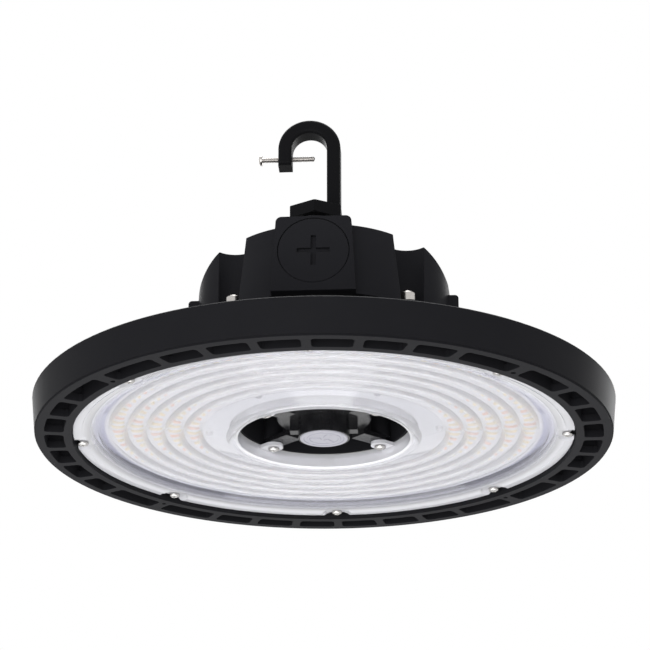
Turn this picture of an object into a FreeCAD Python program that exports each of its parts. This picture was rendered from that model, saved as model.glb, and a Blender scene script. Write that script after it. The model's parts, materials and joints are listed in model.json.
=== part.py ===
import FreeCAD, Part
import os
from math import asin, atan2, cos, degrees, hypot, radians, sin

# LED high bay light: a round die-cast heat sink with a slotted rim and a ring-shaped lens below,
# a driver housing with a wiring box above it, and a hanging hook with a safety screw on top.
# Millimetres. Origin on the light's axis, in the plane of the rim's lower face. +Z is up, and the
# wiring box faces -Y. Angles round the axis are counted from -Y, anticlockwise seen from above.

Vec = FreeCAD.Vector
UP = Vec(0, 0, 1)
AXIS = Vec(0, 0, 0)
merge = 0.5                       # how far a boss or rib runs into the body that it grows from
reach = 5.0                       # how far a cutting tool runs past the face that it opens

# Heat sink: rim and slotted face, outwards from the lens's pocket
lens_land = 5.4
slot_span = 13.0
rim_wall = 6.5
rim_draft = 2.5
rim_height = 24.6
rim_step_width = 0.8
rim_step_height = 1.2
rim_top_chamfer = 0.8
slot_corner = 2.6
slot_depth = 5.0
rib_width = 6.0
screw_rib_width = 9.0
quadrant_rib_angles = (0, 10, 20, 30, 45, 60, 70, 80)
screw_rib_angle = 45
accessory_inset = 1.5
accessory_hole_radius = 1.65
accessory_hole_depth = 12.0

# Heat sink: plate, fins, drum and deck
plate_face_z = 13.0
plate_thickness = 5.0
fin_root_thickness = 3.8
fin_tip_thickness = 2.4
fin_below_deck = 10.5
fin_sag = 12.0
drum_wall = 4.5
drum_clearance = 9.0
drum_draft = 1.5
drum_floor = 4.0
drum_height = 60.5
deck_thickness = 8.5
deck_inset = 5.0
passage_radius = 3.0
passage_offset = 8.0
passage_angle = 180

# Well in the middle of the heat sink
well_radius = 57.0
well_draft = 2.0
well_rise = 17.0
lug_inset = 6.4
lug_angle = 47.0
lug_radius = 7.0

# Lens: one moulding of polycarbonate, from the screwed flange to the wall round the well
lens_radius = 169.5
lens_side_gap = 0.6
flange_face_z = 2.8
flange_thickness = 3.2
flange_step_width = 6.0
flange_step = 0.4
flange_width = 12.0
knee_width = 16.9
knee_rise = 2.5
slope_width = 21.5
slope_rise = 5.0
slope_wall = 2.2
ridge_wall = 1.4
ridge_depth = 1.2
ridge_margin = 2.14
band_width = 16.46
band_rise = 0.6
lip_width = 4.0
lip_drop = 0.2
lens_wall_gap = 1.5
lens_wall_to_lip = 3.5
lens_wall = 2.5
lens_wall_height = 9.6
lens_edge_chamfer = 0.4
pad_radius = 8.5
pad_depth = 1.8
pad_flare = 2.5
edge_notch_width = 12.0
edge_notch_depth = 2.4
tab_radius = 6.5
tab_thickness = 2.4
flange_screw_inset = 4.6
flange_screw_count = 8
seat_gap = 0.3

# Gaskets
flange_gasket_inset = 7.3
flange_gasket_width = 3.2
flange_gasket_height = 1.7
wall_gasket_height = 1.5
wall_gasket_width = 2.0
gasket_clearance = 0.1

# Screws: the lens's small pan heads, and the taps that hold them
screw_head_radius = 4.0
screw_head_height = 2.6
recess_share = 0.3
head_side_share = 0.4
head_crown_share = 0.83
head_crown_radius_share = 0.76
screw_shank_radius = 1.9
screw_shank_length = 11.0
screw_hole_clearance = 0.35
thread_clearance = 0.1
tap_overrun = 1.0

# LED board
pad_sheet_thickness = 0.3
board_thickness = 1.6
board_wall_gap = 5.0
board_rim_gap = 0.8
board_edge_gap = 1.5
led_counts = (58, 69, 72, 84, 99)
led_patterns = (2, 3, 3, 3, 3)
led_start_angles = (4.1, 2.15, 0.5, -0.8, 0.4)
led_length = 5.6
led_width = 3.0
led_height = 0.7
board_screw_radius = 1.4
board_screw_head_radius = 2.8
board_screw_head_height = 1.4
board_screw_length = 6.0
board_screw_count = 6
board_screw_offset = 14.0
countersunk_share = 0.8
connector_length = 12.0
connector_width = 6.0
connector_height = 2.4
connector_offset = 10.5
connector_key_width = 2.4
connector_key_length = 3.0
connector_key_depth = 0.8

# Sensor port in the well
port_cap_z = 3.3
port_boss_z = 4.0
port_boss_radius = 17.5
port_cap_radius = 16.2
port_cap_gap = 0.25
port_cap_thickness = 2.5
port_cap_edge = 0.5
port_cap_dish = 0.3
port_cap_rim_share = 0.8
port_collar_z = 16.5
port_collar_radius = 32.4
port_collar_thickness = 4.5
port_collar_round = 2.0
port_ear_width = 13.0
port_ear_end_radius = 5.5
port_ear_thickness = 3.4
port_ear_overlap = 2.0
port_riser_width = 1.0
port_key_width = 8.0
port_key_reach = 5.5
port_key_z = 8.5
port_gap = 0.3

# Driver housing: a drafted casting, round at front and back, with a rounded lobe on each side
housing_height = 51.0
housing_radius = 72.0
housing_draft = 3.3
lobe_offset = 48.0
lobe_radius = 38.0
bolt_x = 59.0
bolt_y = 40.0
bolt_pocket_radius = 15.0
shoulder_start_x = 70.0
shoulder_mid_x = 80.0
shoulder_mid_drop = 9.0
shoulder_end_x = 86.6
shoulder_end_drop = 19.0
housing_wall = 3.5
housing_lip_inset = 10.0
housing_lip_height = 6.0
bolt_lug_radius = 11.0
bolt_lug_thickness = 3.5
bolt_web_overlap = 3.0
dome_foot_radius = 50.0
dome_shoulder_radius = 32.0
dome_height = 18.0
hook_boss_radius = 22.0
hook_boss_draft = 1.0
hook_boss_height = 8.0
side_pad_reach = 7.5
side_pad_root = 4.0
side_pad_width = 22.0
side_pad_height = 23.0
side_pad_round = 2.5
housing_gasket_thickness = 1.5
housing_gasket_inset = 5.6
housing_gasket_width = 3.6

# Wiring box on the housing's front, a little to the left of the middle
box_x = -2.6
box_reach = 6.0
box_foot_width = 56.5
box_top_width = 50.5
box_rise = 4.0
box_depth = 40.0
box_lean = 2.2
box_corner_round = 4.0
plug_rise = 29.6
plug_radius = 23.8
plug_gap = 0.35
plug_head_thickness = 3.0
plug_head_chamfer = 0.5
plug_thread_radius = 20.0
plug_thread_length = 9.0
plug_cross_length = 22.0
plug_cross_width = 3.4
plug_cross_depth = 2.4
plug_ring_thickness = 1.0
plug_ring_outer_gap = 0.3
plug_ring_inner_gap = 0.2
plug_wall = 2.5
plug_wall_depth = 3.0

# Housing bolts
bolt_radius = 3.0
bolt_head_radius = 5.0
bolt_head_height = 6.0
bolt_head_chamfer = 0.8
bolt_socket_flats = 5.0
bolt_socket_depth = 3.0
bolt_length = 22.0
bolt_hole_overrun = 2.0
washer_radius = 6.2
washer_thickness = 1.6
spring_washer_radius = 5.2
spring_washer_thickness = 1.5
spring_washer_slit = 1.0

# Hook: a forged eye hook on a hexagon, with a threaded neck that stands left of the middle
hook_x = -5.5
hex_flats = 36.0
hex_height = 9.2
hex_chamfer = 1.6
hex_top_chamfer = 0.4
hex_bevel_slope = 0.6
neck_radius = 10.0
neck_depth = 9.0
neck_showing = 8.3
eye_offset = -4.7
eye_rise = 47.5
eye_radius = 12.5
hook_thickness = 9.8
hook_depth = 16.0
hook_round = 2.6
tip_drop = 12.7
safety_drop = 5.8
safety_showing = 11.7
safety_head_radius = 4.0
safety_head_height = 2.9
safety_shank_radius = 2.0
safety_length = 37.6
seal_radius = 15.0
seal_thickness = 2.0
grub_radius = 2.5
grub_length = 9.0
grub_drop = 4.0
grub_angle = 180
grub_socket_flats = 2.5
grub_socket_depth = 2.0

# Driver inside the drum and the housing
standoff_radius = 4.0
standoff_height = 12.0
standoff_x = 38.0
standoff_y = 34.0
driver_board_length = 88.0
driver_board_width = 80.0
driver_board_thickness = 1.6
driver_screw_radius = 1.5
driver_screw_head_radius = 2.8
driver_screw_head_height = 2.0
driver_screw_depth = 2.0
driver_tap_depth = 3.0
transformer_size = (34.0, 30.0, 26.0)
transformer_place = (-18.0, 8.0)
transformer_leg = 6.0
transformer_yoke = 5.0
transformer_coil_inset = 2.0
capacitor_radius = 9.0
capacitor_height = 36.0
capacitor_places = ((18.0, 20.0), (18.0, -2.0))
choke_radius = 13.0
choke_bore = 6.0
choke_height = 12.0
choke_place = (-18.0, -24.0)
terminal_size = (22.0, 12.0, 14.0)
terminal_place = (19.0, -30.0)
terminal_entry_radius = 2.0
terminal_entry_depth = 7.0
terminal_entry_share = 0.4

# Radii that follow from the ones above
pocket_radius = lens_radius + lens_side_gap
slot_inner_radius = pocket_radius + lens_land
slot_outer_radius = slot_inner_radius + slot_span
rim_foot_radius = slot_outer_radius + rim_wall
rim_top_radius = rim_foot_radius + rim_draft
accessory_pitch_radius = slot_inner_radius + accessory_inset
flange_step_radius = lens_radius - flange_step_width
flange_inner_radius = lens_radius - flange_width
flange_screw_radius = lens_radius - flange_screw_inset
flange_gasket_radius = lens_radius - flange_gasket_inset - flange_gasket_width / 2
ledge_inner_radius = flange_inner_radius + seat_gap
knee_radius = lens_radius - knee_width
slope_inner_radius = lens_radius - slope_width
lens_wall_radius = well_radius + lens_wall_gap
lip_radius = lens_wall_radius + lens_wall_to_lip
band_inner_radius = lip_radius + lip_width
ridge_inner_radius = band_inner_radius + band_width
led_pitch = (slope_inner_radius - ridge_margin - ridge_inner_radius) / len(led_counts)
led_radii = [ridge_inner_radius + (i + 0.5) * led_pitch for i in range(len(led_counts))]
board_inner_radius = lens_wall_radius + board_wall_gap
board_outer_radius = ledge_inner_radius - board_rim_gap
connector_radius = board_inner_radius + connector_offset
board_screw_pitch_radius = board_inner_radius + board_screw_offset
drum_inner_radius = well_radius + drum_clearance
drum_outer_radius = drum_inner_radius + drum_wall
passage_pitch_radius = well_radius + passage_offset
lug_x = (well_radius - lug_inset) * sin(radians(lug_angle))
lug_y = (well_radius - lug_inset) * cos(radians(lug_angle))
side_pad_x = lobe_offset + lobe_radius + side_pad_reach
box_front_y = -housing_radius - box_reach
box_back_y = box_front_y + box_depth
eye_x = hook_x + eye_offset

# Heights that follow from the ones above
flange_top_z = flange_face_z + flange_thickness
pad_z = flange_face_z + pad_depth
knee_z = flange_face_z + knee_rise
valley_z = flange_face_z + slope_rise
lens_inner_face_z = valley_z + ridge_wall
band_inner_z = flange_face_z + band_rise
lip_z = flange_face_z - lip_drop
lens_wall_top_z = flange_face_z + lens_wall_height
ledge_z = flange_top_z + seat_gap
plate_top_z = plate_face_z + plate_thickness
well_ceiling_z = plate_face_z + well_rise
drum_floor_z = well_ceiling_z + drum_floor
deck_z = plate_top_z + drum_height
fin_inner_height = deck_z - fin_below_deck
board_top_z = plate_face_z - pad_sheet_thickness
board_foot_z = board_top_z - board_thickness
tab_foot_z = lens_wall_top_z - tab_thickness
port_ear_foot_z = lens_wall_top_z + port_gap
lug_foot_z = port_ear_foot_z + port_ear_thickness
housing_foot_z = deck_z + housing_gasket_thickness
housing_top_z = housing_foot_z + housing_height
dome_shoulder_z = housing_top_z + dome_height
hook_boss_top_z = dome_shoulder_z + hook_boss_height
box_top_z = housing_top_z + box_rise
plug_center_z = housing_foot_z + plug_rise
side_pad_top_z = housing_foot_z + side_pad_height
bolt_lug_top_z = housing_foot_z + bolt_lug_thickness
bolt_head_foot_z = bolt_lug_top_z + washer_thickness + spring_washer_thickness
neck_foot_z = hook_boss_top_z - neck_depth
hex_foot_z = hook_boss_top_z + neck_showing
hex_top_z = hex_foot_z + hex_height
eye_z = hex_top_z + eye_rise
tip_foot_z = eye_z - tip_drop
safety_z = eye_z - safety_drop
grub_z = hook_boss_top_z - grub_drop
driver_board_foot_z = drum_floor_z + standoff_height
driver_board_top_z = driver_board_foot_z + driver_board_thickness

# Bearings round the axis
flange_screw_angles = [i * 360 / flange_screw_count for i in range(flange_screw_count)]
rib_angles = [quarter * 90 + a for quarter in range(4) for a in quadrant_rib_angles]
screw_rib_angles = [quarter * 90 + screw_rib_angle for quarter in range(4)]


# ---- shapes -------------------------------------------------------------------------------

def disc(radius, z0, z1, x=0.0, y=0.0):
    return Part.makeCylinder(radius, z1 - z0, Vec(x, y, z0))


def cone(radius0, radius1, z0, z1, x=0.0, y=0.0):
    return Part.makeCone(radius0, radius1, z1 - z0, Vec(x, y, z0))


def ring(inner, outer, z0, z1, x=0.0, y=0.0):
    return disc(outer, z0, z1, x, y).cut(disc(inner, z0, z1, x, y))


def block(x0, x1, y0, y1, z0, z1):
    return Part.makeBox(x1 - x0, y1 - y0, z1 - z0, Vec(x0, y0, z0))


def rod_x(radius, x0, x1, y, z):
    return Part.makeCylinder(radius, x1 - x0, Vec(x0, y, z), Vec(1, 0, 0))


def line(a, b):
    return Part.makeLine(a, b)


def arc(a, middle, b):
    return Part.Arc(a, middle, b).toShape()


def turned(points):
    """Solid of revolution round Z from (radius, z) corners; a triple is an arc's middle point."""
    face = Part.Face(outline(points))
    return face.revolve(AXIS, UP, 360)


def outline(points):
    """Closed wire in the XZ plane. A point marked 'arc' is passed through on the way to the next."""
    edges = []
    start = points[0]
    through = None
    for point in list(points[1:]) + [points[0]]:
        if len(point) == 3:
            through = Vec(point[0], 0, point[1])
            continue
        a = Vec(start[0], 0, start[1])
        b = Vec(point[0], 0, point[1])
        edges.append(arc(a, through, b) if through else line(a, b))
        start = point
        through = None
    return Part.Wire(edges)


def turn(shape, angle):
    copy = shape.copy()
    copy.rotate(AXIS, UP, angle)
    return copy


def ring_of(shape, angles):
    return [turn(shape, angle) for angle in angles]


def mirrored(x, y):
    """The four points (+-x, +-y)."""
    return [(sx * x, sy * y) for sx in (-1, 1) for sy in (-1, 1)]


def fuse(shapes):
    return shapes[0].fuse(list(shapes[1:])).removeSplitter()


def cut(body, tools):
    return body.cut(Part.Compound(list(tools))) if len(tools) > 1 else body.cut(tools[0])


def edges_where(shape, test):
    return [edge for edge in shape.Edges if test(edge)]


def upright(edge):
    ends = [vertex.Point for vertex in edge.Vertexes]
    return len(ends) == 2 and abs(ends[0].z - ends[1].z) > 1e-3 and hypot(
        ends[0].x - ends[1].x, ends[0].y - ends[1].y) < 1e-6


def pan_head(radius, height, face_z):
    """A domed screw head that hangs below face_z, with a round drive recess."""
    crown_z = face_z - height
    recess = radius * recess_share
    return turned([(0, face_z), (radius, face_z), (radius, face_z - height * head_side_share),
                   (radius * head_crown_radius_share, face_z - height * head_crown_share, "arc"),
                   (recess, crown_z),
                   (recess / 2, crown_z + recess), (0, crown_z + recess)])


def lens_screw(x, y, face_z):
    """A pan-head screw driven upwards, with its head under face_z."""
    shank = disc(screw_shank_radius, face_z - merge, face_z + screw_shank_length)
    screw = fuse([pan_head(screw_head_radius, screw_head_height, face_z), shank])
    screw.translate(Vec(x, y, 0))
    return screw


# ---- heat sink ----------------------------------------------------------------------------

def rim_band():
    step_radius = rim_foot_radius - rim_step_width
    top = rim_top_radius - rim_top_chamfer
    return turned([(slot_outer_radius, 0), (step_radius, 0), (step_radius, rim_step_height),
                   (rim_foot_radius, rim_step_height), (rim_top_radius, rim_height - rim_top_chamfer),
                   (top, rim_height), (slot_outer_radius, rim_height)])


def slot(angle0, width0, angle1, width1):
    """One vent window between two ribs, with rounded corners."""
    def corner(radius, angle, half, side):
        bearing = radians(angle + side * degrees(asin(half / radius)))
        return Vec(radius * sin(bearing), -radius * cos(bearing), -reach)

    def middle(radius):
        bearing = radians((angle0 + angle1) / 2)
        return Vec(radius * sin(bearing), -radius * cos(bearing), -reach)

    outer = [corner(slot_outer_radius, angle0, width0 / 2, 1),
             corner(slot_outer_radius, angle1, width1 / 2, -1)]
    inner = [corner(slot_inner_radius, angle0, width0 / 2, 1),
             corner(slot_inner_radius, angle1, width1 / 2, -1)]
    wire = Part.Wire([arc(outer[0], middle(slot_outer_radius), outer[1]), line(outer[1], inner[1]),
                      arc(inner[1], middle(slot_inner_radius), inner[0]), line(inner[0], outer[0])])
    window = Part.Face(wire).extrude(UP * (slot_depth + 2 * reach))
    return window.makeFillet(slot_corner, edges_where(window, upright))


def slotted_face():
    face = ring(slot_inner_radius - merge, slot_outer_radius + merge, 0, slot_depth)
    widths = {a: screw_rib_width if a == screw_rib_angle else rib_width for a in quadrant_rib_angles}
    quadrant = list(quadrant_rib_angles) + [90]
    widths[90] = widths[quadrant[0]]
    windows = [slot(a, widths[a], b, widths[b]) for a, b in zip(quadrant, quadrant[1:])]
    return cut(face, [turn(w, 90 * quarter) for quarter in range(4) for w in windows])


def fin():
    """One drafted fin at angle 0, from the drum over the plate and the slots to the rim."""
    inner = drum_outer_radius - drum_draft - merge
    outer = slot_outer_radius + merge
    drop = slot_inner_radius - merge
    low = plate_top_z - merge
    tip_z = rim_height - rim_top_chamfer
    middle = ((inner + outer) / 2, (fin_inner_height + tip_z) / 2 - fin_sag)
    side = outline([(inner, low), (drop, low), (drop, slot_depth - merge), (outer, slot_depth - merge),
                    (outer, tip_z), (middle[0], middle[1], "arc"), (inner, fin_inner_height)])
    profile = Part.Face(side)
    profile.translate(Vec(0, -fin_root_thickness, 0))
    radial = profile.extrude(Vec(0, 2 * fin_root_thickness, 0))
    root = fin_root_thickness / 2
    tip = fin_tip_thickness / 2
    section = Part.Face(Part.makePolygon([
        Vec(0, -root, 0), Vec(0, root, 0), Vec(0, tip, fin_inner_height + merge),
        Vec(0, -tip, fin_inner_height + merge), Vec(0, -root, 0)]))
    wedge = section.extrude(Vec(rim_top_radius, 0, 0))
    return turn(radial.common(wedge), -90)


def plate_and_drum():
    """Lens seat, LED seat, plate, well and drum, turned as one section."""
    groove0 = flange_gasket_radius - flange_gasket_width / 2 - gasket_clearance
    groove1 = flange_gasket_radius + flange_gasket_width / 2 + gasket_clearance
    groove_z = flange_top_z + flange_gasket_height
    wall_middle = lens_wall_radius + lens_wall / 2
    wall_groove0 = wall_middle - wall_gasket_width / 2 - gasket_clearance
    wall_groove1 = wall_middle + wall_gasket_width / 2 + gasket_clearance
    wall_groove_z = lens_wall_top_z + wall_gasket_height
    return turned([
        (0, well_ceiling_z), (well_radius - well_draft, well_ceiling_z), (well_radius, plate_face_z),
        (wall_groove0, plate_face_z), (wall_groove0, wall_groove_z), (wall_groove1, wall_groove_z),
        (wall_groove1, plate_face_z), (ledge_inner_radius, plate_face_z),
        (ledge_inner_radius, ledge_z), (groove0, ledge_z), (groove0, groove_z), (groove1, groove_z),
        (groove1, ledge_z), (pocket_radius, ledge_z), (pocket_radius, 0), (slot_inner_radius, 0),
        (slot_inner_radius, plate_top_z), (drum_outer_radius, plate_top_z),
        (drum_outer_radius - drum_draft, deck_z), (drum_inner_radius, deck_z),
        (drum_inner_radius, drum_floor_z), (0, drum_floor_z)])


def heat_sink():
    deck = plan(deck_inset, deck_z - deck_thickness, deck_z).cut(
        disc(drum_inner_radius, deck_z - deck_thickness - reach, deck_z + reach))
    pillars = [disc(bolt_lug_radius, plate_top_z - merge, housing_foot_z, x, y)
               for x, y in mirrored(bolt_x, bolt_y)]
    pillars = [p.cut(disc(drum_inner_radius, drum_floor_z, housing_foot_z + reach)) for p in pillars]
    lugs = [disc(lug_radius, lug_foot_z, well_ceiling_z + merge, x, y)
            for x, y in mirrored(lug_x, lug_y)]
    studs = [disc(screw_rib_width / 2, slot_depth - merge, plate_top_z,
                  accessory_pitch_radius * sin(radians(a)), -accessory_pitch_radius * cos(radians(a)))
             for a in screw_rib_angles]
    body = fuse([plate_and_drum(), rim_band(), slotted_face(), deck] + pillars + lugs + studs
                + ring_of(fin(), rib_angles))
    return cut(body, heat_sink_holes())


def heat_sink_holes():
    holes = []
    for angle in screw_rib_angles:
        bearing = radians(angle)
        holes.append(disc(accessory_hole_radius, -reach, accessory_hole_depth,
                          accessory_pitch_radius * sin(bearing), -accessory_pitch_radius * cos(bearing)))
    tap = screw_shank_radius + thread_clearance
    tap_depth = screw_shank_length + tap_overrun
    for angle in flange_screw_angles:
        bearing = radians(angle)
        holes.append(disc(tap, ledge_z - merge, pad_z + tap_depth,
                          flange_screw_radius * sin(bearing), -flange_screw_radius * cos(bearing)))
    for x, y in mirrored(lug_x, lug_y):
        holes.append(disc(tap, lug_foot_z - merge, tab_foot_z + tap_depth, x, y))
    for x, y in mirrored(bolt_x, bolt_y):
        foot = bolt_head_foot_z - bolt_length - bolt_hole_overrun
        holes.append(disc(bolt_radius + thread_clearance, foot, housing_foot_z + reach, x, y))
    for x, y in board_screw_places():
        holes.append(disc(board_screw_radius + thread_clearance, plate_face_z - reach,
                          board_foot_z + board_screw_length + tap_overrun / 2, x, y))
    for x, y in mirrored(standoff_x, standoff_y):
        holes.append(disc(driver_screw_radius + thread_clearance, drum_floor_z - driver_tap_depth,
                          drum_floor_z + reach, x, y))
    bearing = radians(passage_angle)
    holes.append(disc(passage_radius, plate_face_z - reach, drum_floor_z + reach,
                      passage_pitch_radius * sin(bearing), -passage_pitch_radius * cos(bearing)))
    return holes


# ---- lens, gaskets and screws ---------------------------------------------------------------

def lens_section():
    """Lens section: flange, slope, one convex ridge under each LED ring, band, lip and wall."""
    half = led_pitch / 2
    points = [
        (lens_radius, flange_top_z), (lens_radius, flange_face_z + lens_edge_chamfer),
        (lens_radius - lens_edge_chamfer, flange_face_z), (flange_step_radius, flange_face_z),
        (flange_step_radius, flange_face_z - flange_step), (knee_radius, knee_z),
        (slope_inner_radius, valley_z)]
    for radius in reversed(led_radii):
        points += [(radius + half, valley_z), (radius, valley_z - ridge_depth, "arc")]
    points += [
        (led_radii[0] - half, valley_z), (band_inner_radius, band_inner_z),
        (lip_radius, lip_z, "arc"), (lens_wall_radius, flange_face_z + 2 * lens_edge_chamfer),
        (lens_wall_radius, lens_wall_top_z), (lens_wall_radius + lens_wall, lens_wall_top_z),
        (lens_wall_radius + lens_wall, band_inner_z + lens_wall + band_rise),
        (band_inner_radius, band_inner_z + lens_wall),
        (led_radii[0] - half, lens_inner_face_z), (slope_inner_radius, lens_inner_face_z),
        (knee_radius, knee_z + slope_wall), (flange_inner_radius, flange_top_z)]
    return points


def lens():
    body = turned(lens_section())
    pads = []
    for angle in flange_screw_angles:
        pad = cone(pad_radius + pad_flare, pad_radius, flange_face_z - flange_step, pad_z,
                   0, -flange_screw_radius)
        notch = block(-edge_notch_width / 2, edge_notch_width / 2, -lens_radius - reach,
                      -lens_radius + edge_notch_depth, -reach, flange_top_z + reach)
        hole = disc(screw_shank_radius + screw_hole_clearance, -reach, flange_top_z + reach,
                    0, -flange_screw_radius)
        pads += ring_of(fuse([pad, notch, hole]), [angle])
    tabs = []
    tab_holes = []
    for x, y in mirrored(lug_x, lug_y):
        pitch = hypot(x, y)
        arm = block(-tab_radius, tab_radius, -lens_wall_radius - merge, -pitch, tab_foot_z,
                    lens_wall_top_z)
        arm = turn(arm, bearing_of(x, y))
        tabs += [disc(tab_radius, tab_foot_z, lens_wall_top_z, x, y), arm]
        tab_holes.append(disc(screw_shank_radius + screw_hole_clearance, tab_foot_z - reach,
                              lens_wall_top_z + reach, x, y))
    return cut(fuse([cut(body, pads)] + tabs), tab_holes)


def bearing_of(x, y):
    """Angle of a point round the axis, counted from -Y."""
    return degrees(atan2(x, -y))


def lens_gasket_outer():
    inner = flange_gasket_radius - flange_gasket_width / 2
    return ring(inner, inner + flange_gasket_width, flange_top_z, flange_top_z + flange_gasket_height)


def lens_gasket_inner():
    middle = lens_wall_radius + lens_wall / 2
    return ring(middle - wall_gasket_width / 2, middle + wall_gasket_width / 2, lens_wall_top_z,
                lens_wall_top_z + wall_gasket_height)


def lens_screws_outer():
    first = lens_screw(0, -flange_screw_radius, pad_z)
    return Part.Compound(ring_of(first, flange_screw_angles))


def lens_screws_inner():
    return Part.Compound([lens_screw(x, y, tab_foot_z) for x, y in mirrored(lug_x, lug_y)])


# ---- LED board ------------------------------------------------------------------------------

def board_screw_places():
    offset = 180 / board_screw_count
    angles = [radians(offset + i * 360 / board_screw_count) for i in range(board_screw_count)]
    return [(board_screw_pitch_radius * sin(a), -board_screw_pitch_radius * cos(a)) for a in angles]


def annular_sheet(inner, outer, z0, z1, hole_radius):
    sheet = ring(inner, outer, z0, z1)
    bearing = radians(passage_angle)
    holes = [disc(hole_radius, z0 - reach, z1 + reach, x, y) for x, y in board_screw_places()]
    holes.append(disc(passage_radius, z0 - reach, z1 + reach, passage_pitch_radius * sin(bearing),
                      -passage_pitch_radius * cos(bearing)))
    return cut(sheet, holes)


def led_board():
    return annular_sheet(board_inner_radius, board_outer_radius, board_foot_z, board_top_z,
                         board_screw_radius + thread_clearance)


def thermal_pad():
    return annular_sheet(board_inner_radius + board_edge_gap, board_outer_radius - board_edge_gap,
                         board_top_z, plate_face_z, board_screw_radius + thread_clearance)


def leds(warm):
    """Warm white chips are every second or third one of a ring; the neutral white ones are the rest."""
    chips = []
    for radius, count, pattern, start in zip(led_radii, led_counts, led_patterns, led_start_angles):
        chip = block(-led_width / 2, led_width / 2, -radius - led_length / 2, -radius + led_length / 2,
                     board_foot_z - led_height, board_foot_z)
        chips += ring_of(chip, [start + i * 360 / count for i in range(count)
                                if (i % pattern == 0) == warm])
    return Part.Compound(chips)


def board_screws():
    head_foot = board_foot_z - board_screw_head_height
    return Part.Compound([
        fuse([cone(board_screw_head_radius * countersunk_share, board_screw_head_radius, head_foot,
                   board_foot_z, x, y),
              disc(board_screw_radius, board_foot_z - merge, board_foot_z + board_screw_length, x, y)])
        for x, y in board_screw_places()])


def board_connector():
    foot = board_foot_z - connector_height
    body = block(-connector_length / 2, connector_length / 2, -connector_radius - connector_width / 2,
                 -connector_radius + connector_width / 2, foot, board_foot_z)
    half_width = connector_key_width / 2
    half_length = connector_key_length / 2
    keys = [block(x - half_width, x + half_width, -connector_radius - half_length,
                  -connector_radius + half_length, foot - reach, foot + connector_key_depth)
            for x in (-connector_length / 4, connector_length / 4)]
    return turn(cut(body, keys), passage_angle)


# ---- sensor port ------------------------------------------------------------------------------

def sensor_port():
    """Socket for a plug-in sensor: boss, collar, keyed sides and four ears under the lugs."""
    collar_top = port_collar_z + port_collar_thickness
    sagitta = port_collar_round * (1 - cos(radians(45)))
    collar = turned([(0, port_collar_z), (port_collar_radius - port_collar_round, port_collar_z),
                     (port_collar_radius - sagitta, port_collar_z + sagitta, "arc"),
                     (port_collar_radius, port_collar_z + port_collar_round),
                     (port_collar_radius, collar_top), (0, collar_top)])
    boss = disc(port_boss_radius, port_boss_z, port_collar_z + merge)
    key_reach = port_boss_radius + port_key_reach
    keys = block(-key_reach, key_reach, -port_key_width / 2, port_key_width / 2, port_key_z,
                 port_collar_z + merge)
    ears = []
    for x, y in mirrored(lug_x, lug_y):
        pitch = hypot(x, y)
        root = -port_collar_radius + port_ear_overlap
        arm = block(-port_ear_width / 2, port_ear_width / 2, -pitch, root, port_ear_foot_z, lug_foot_z)
        riser = block(-port_ear_width / 2, port_ear_width / 2, -port_collar_radius - port_riser_width,
                      root, port_ear_foot_z, collar_top)
        ears += [turn(fuse([arm, riser]), bearing_of(x, y)),
                 disc(port_ear_end_radius, port_ear_foot_z, lug_foot_z, x, y)]
    body = fuse([collar, boss, keys] + ears)
    seat = disc(port_cap_radius + port_cap_gap, -reach, port_cap_z + port_cap_thickness + port_gap)
    holes = [disc(screw_shank_radius + screw_hole_clearance, port_ear_foot_z - reach,
                  lug_foot_z + reach, x, y) for x, y in mirrored(lug_x, lug_y)]
    return cut(body, [seat] + holes)


def sensor_cap():
    """Blanking disc with a slightly dished face and a stub that snaps into the port."""
    top = port_cap_z + port_cap_thickness
    return turned([(0, port_cap_z + port_cap_edge),
                   (port_cap_radius * port_cap_rim_share, port_cap_z + port_cap_dish),
                   (port_cap_radius - port_cap_edge, port_cap_z),
                   (port_cap_radius, port_cap_z + port_cap_edge),
                   (port_cap_radius, top), (0, top)])


# ---- driver housing ---------------------------------------------------------------------------

def plan(inset, z0, z1):
    """The housing's drafted outline, inset all round: round middle, two lobes, four pockets."""
    def at(z):
        return housing_draft * (housing_top_z - z) / (housing_top_z - housing_foot_z)

    grow0, grow1 = at(z0) - inset, at(z1) - inset
    middle = cone(housing_radius + grow0, housing_radius + grow1, z0, z1)
    lobes = [cone(lobe_radius + grow0, lobe_radius + grow1, z0, z1, sx * lobe_offset, 0)
             for sx in (-1, 1)]
    pockets = [cone(bolt_pocket_radius - grow0, bolt_pocket_radius - grow1, z0, z1, x, y)
               for x, y in mirrored(bolt_x, bolt_y)]
    return cut(fuse([middle] + lobes), pockets)


def shoulders(inset, z0, z1):
    """What the housing may fill seen from the front: flat top, sloped and rounded shoulders."""
    mid_z = housing_top_z - shoulder_mid_drop - inset
    end_z = housing_top_z - shoulder_end_drop - inset
    right = [(shoulder_start_x - inset, z1), (shoulder_mid_x - inset, mid_z, "arc"),
             (shoulder_end_x - inset, end_z), (shoulder_end_x + reach, z0)]
    left = [(-p[0],) + tuple(p[1:]) for p in reversed(right)]
    face = Part.Face(outline(right + left))
    face.translate(Vec(0, -rim_foot_radius, 0))
    return face.extrude(Vec(0, 2 * rim_foot_radius, 0))


def box_solid(inset, z0, z1, front_y, back_y):
    """The wiring box: sides drawn in towards the top, front leaning back."""
    def width(z):
        share = (z - housing_foot_z) / (box_top_z - housing_foot_z)
        return (box_foot_width + (box_top_width - box_foot_width) * share) / 2 - inset

    def front(z):
        share = (z - housing_foot_z) / (box_top_z - housing_foot_z)
        return front_y + inset + box_lean * share

    wires = [Part.makePolygon([Vec(box_x - width(z), front(z), z), Vec(box_x + width(z), front(z), z),
                               Vec(box_x + width(z), back_y, z), Vec(box_x - width(z), back_y, z),
                               Vec(box_x - width(z), front(z), z)]) for z in (z0, z1)]
    return Part.makeLoft(wires, True, True)


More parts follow.
